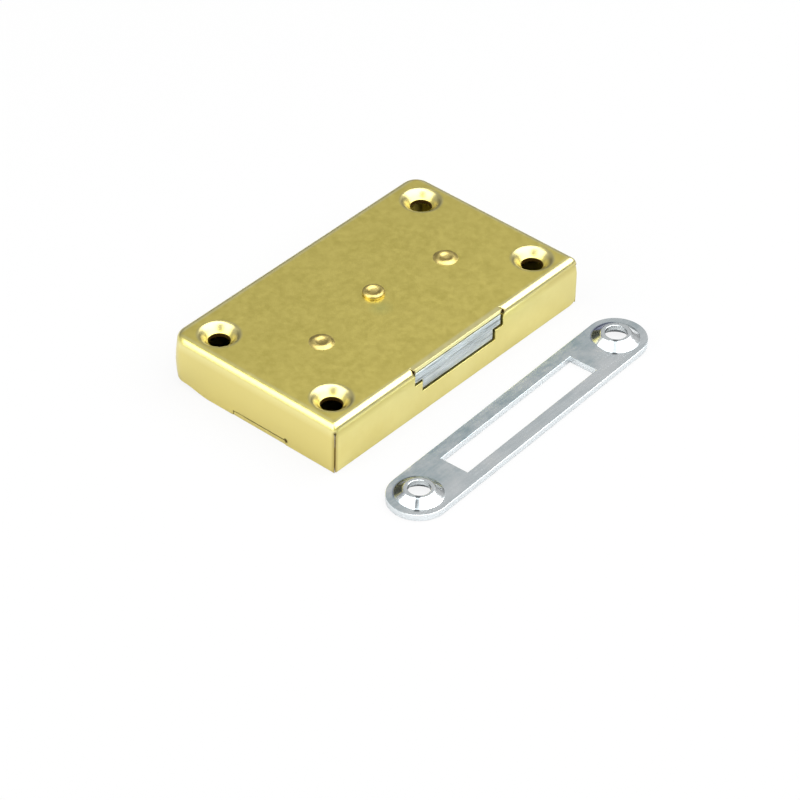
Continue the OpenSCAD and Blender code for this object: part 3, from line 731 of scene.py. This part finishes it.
# Levers and leaf springs. Each lever is a brass blanking with an H-shaped gate, and a leaf of spring steel is set
# in a slit at its rear corner and bears on the right pillar.
blued, tree, shader = metal("spring_steel", Coat_Weight=0.0)
run = grain(tree, 0.7, (1, 1, 0.2))
tree.links.new(tones(tree, run, [(0.3, (0.30, 0.30, 0.32)), (0.7, (0.50, 0.50, 0.52))]), shader.inputs["Base Color"])
tree.links.new(between(tree, run, 0.3, 0.7, 0.28, 0.36), shader.inputs["Roughness"])
relief(tree, shader, (run, 0.002))
for k, letter in ((1, "a"), (2, "b"), (3, "c")):
    lever = blanked(f"lever_{k}", f"lever_blank_{k}", 0.06)
    lever.data.materials.append(bronze)
    leaf = blanked(f"lever_spring_{k}", f"leaf_{k}", 0.03)
    leaf.data.materials.append(blued)
    for piece, node, slot_name in ((lever, f"lever_{k}", "lever_brass"), (leaf, f"lever_spring_{k}", "spring_steel")):
        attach(piece, f"lever_{letter}")
        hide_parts(node)

# Cover. A flat blank that lies inside the walls, with a tab in the notch at each end, the keyhole and four screw
# holes. The pillars and the lever post are riveted into it.
cover = blanked("cover_plate", "cover_blank", 0.06)
cover.data.materials.append(brass)
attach(cover, "case")
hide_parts("cover_plate")

# Strike plate. A zinc-plated steel blank with round ends and a long slot. Its two screw seats are pressed up as
# hollow cones, and it lies loose in front of the lock.
strike = Pressing()
strike_t, strike_l, strike_w, slot_l, slot_w = 1.3, 67.4, 11.2, 36.7, 5.8
seat_x, hole_r, seat_r, seat_h = 27.9, 2.0, 4.3, 1.2
end_r, patch_x = strike_w / 2, 22.3


def strip(x, y):
    return strike.point((x, y, strike_t), (x, y, 0))


xs = spaced(-patch_x, (-slot_l / 2, 6), (slot_l / 2, 50), (patch_x, 6))
ys = spaced(-end_r, (-slot_w / 2, 5), (slot_w / 2, 10), (end_r, 5))
for x0, x1 in zip(xs, xs[1:]):
    for y0, y1 in zip(ys, ys[1:]):
        if abs(x0 + x1) > slot_l or abs(y0 + y1) > slot_w:
            strike.face(strip(x0, y0), strip(x1, y0), strip(x1, y1), strip(x0, y1))
# profile of a seat from the plate to the hole: (radius, upper height, inner radius, lower height)
seat = [(5.0, strike_t, 4.6, 0), (4.45, strike_t, 3.6, 0), (seat_r, strike_t + 0.05, 3.35, 0.03),
        (4.15, strike_t + 0.15, 3.25, 0.1), (3.7, strike_t + 0.47, 3.0, 0.4), (3.2, strike_t + 0.84, 2.7, 0.8),
        (2.95, strike_t + 1.03, 2.55, 1.05), (2.8, strike_t + 1.13, 2.45, 1.2), (2.6, strike_t + seat_h, 2.35, 1.34),
        (2.3, strike_t + seat_h, 2.2, 1.44), (hole_r, strike_t + seat_h - 0.03, hole_r, 1.48)]
for side in (-1, 1):
    end = strike_l / 2 - end_r
    bow = [(side * (end + end_r * cos(a)), end_r * sin(a)) for a in [pi * (i / 40 - 0.5) for i in range(41)]]
    straight = spaced(patch_x, (end, 8))
    outline = bow + [(side * x, end_r) for x in reversed(straight[:-1])] \
        + [(side * patch_x, y) for y in reversed(ys[1:-1])] + [(side * x, -end_r) for x in straight[:-1]]
    last = [strip(x, y) for x, y in outline]
    for r, z, inner_r, inner_z in seat:
        ring = []
        for x, y in outline:
            d = hypot(x - side * seat_x, y)
            u, v = (x - side * seat_x) / d, y / d
            ring.append(strike.point((side * seat_x + r * u, r * v, z), (side * seat_x + inner_r * u, inner_r * v,
                                                                       inner_z)))
        strike.ring(last, ring)
        last = ring
tilt, strike_y = radians(2.14), -33.9
strike_plate = strike.build("strike_pressing", 0.08, lambda p: (
    p[0] * cos(tilt) - p[1] * sin(tilt), strike_y + p[0] * sin(tilt) + p[1] * cos(tilt), p[2]))

bright, tree, shader = metal("bright_zinc", Coat_Weight=0.0)
cloud, brushed = grain(tree, 6.0, detail=5, rough=0.6), grain(tree, 0.5, (0.12, 1, 1), detail=4)
silver = tones(tree, cloud, [(0.35, (0.50, 0.62, 0.66)), (0.5, (0.66, 0.75, 0.78)), (0.68, (0.90, 0.94, 0.95))])
silver = mixed(tree, between(tree, brushed, 0.4, 0.7, 0, 0.35), silver, (0.88, 0.92, 0.94, 1))
at = add(tree, "ShaderNodeTexCoord").outputs["Object"]
high = add(tree, "ShaderNodeSeparateXYZ", {0: at}).outputs["Z"]
# brighter on the front strip, a painted reflection, and where the seats stand up, painted highlights
across = dot(tree, at, (-sin(tilt), cos(tilt), 0))
silver = mixed(tree, fading(tree, across, -34.5, -37.0, 0, 0.6), silver, (0.93, 0.97, 0.99, 1))
pressed = mixed(tree, fading(tree, high, strike_t + 0.05, strike_t + 0.3, 0, 0.7), silver, (0.93, 0.96, 0.97, 1))
# a painted dark reflection in the hollow behind each seat, and a darker streak runs down its front
hollow_reflections, marks = [], []
for side in (-1, 1):
    x, y = side * seat_x * cos(tilt), strike_y + side * seat_x * sin(tilt)
    cone = product(tree, spot(tree, at, (x, y, 0), seat_r, seat_r + 0.4, upright),
                   between(tree, spot(tree, at, (x, y, 0), 2.6, 3.0, upright), 0, 1, 1, 0))
    hollow_reflections.append(product(tree, cone, spot(tree, at, (x - 0.5, y + 4.5, 0), 3.2, 4.4, upright)))
    moved = add(tree, "ShaderNodeVectorMath", {0: at, 1: (x / 1000, y / 1000, 0)}, operation="SUBTRACT").outputs[0]
    marks.append(product(tree, window(tree, dot(tree, moved, (0.588, -0.809, 0)), -0.3, 0.3, 0.3),
                         window(tree, dot(tree, moved, (-0.809, -0.588, 0)), 2.4, 4.6, 0.5)))
pressed = mixed(tree, largest(tree, *hollow_reflections), pressed, (0.095, 0.12, 0.27, 1))
pressed = mixed(tree, largest(tree, *marks), pressed, (0.20, 0.22, 0.23, 1))
cut = fading(tree, high, strike_t - 0.2, strike_t, 1, 0)
tree.links.new(mixed(tree, cut, pressed, (0.80, 0.84, 0.86, 1)), shader.inputs["Base Color"])
rough = between(tree, brushed, 0.3, 0.7, 0.14, 0.22)
tree.links.new(add(tree, "ShaderNodeMath", {0: cut, 1: 0.16, 2: rough}, operation="MULTIPLY_ADD").outputs[0],
               shader.inputs["Roughness"])
relief(tree, shader, (cloud, 0.004))
strike_plate.data.materials.append(bright)
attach(strike_plate, "case")
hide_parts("strike_plate")
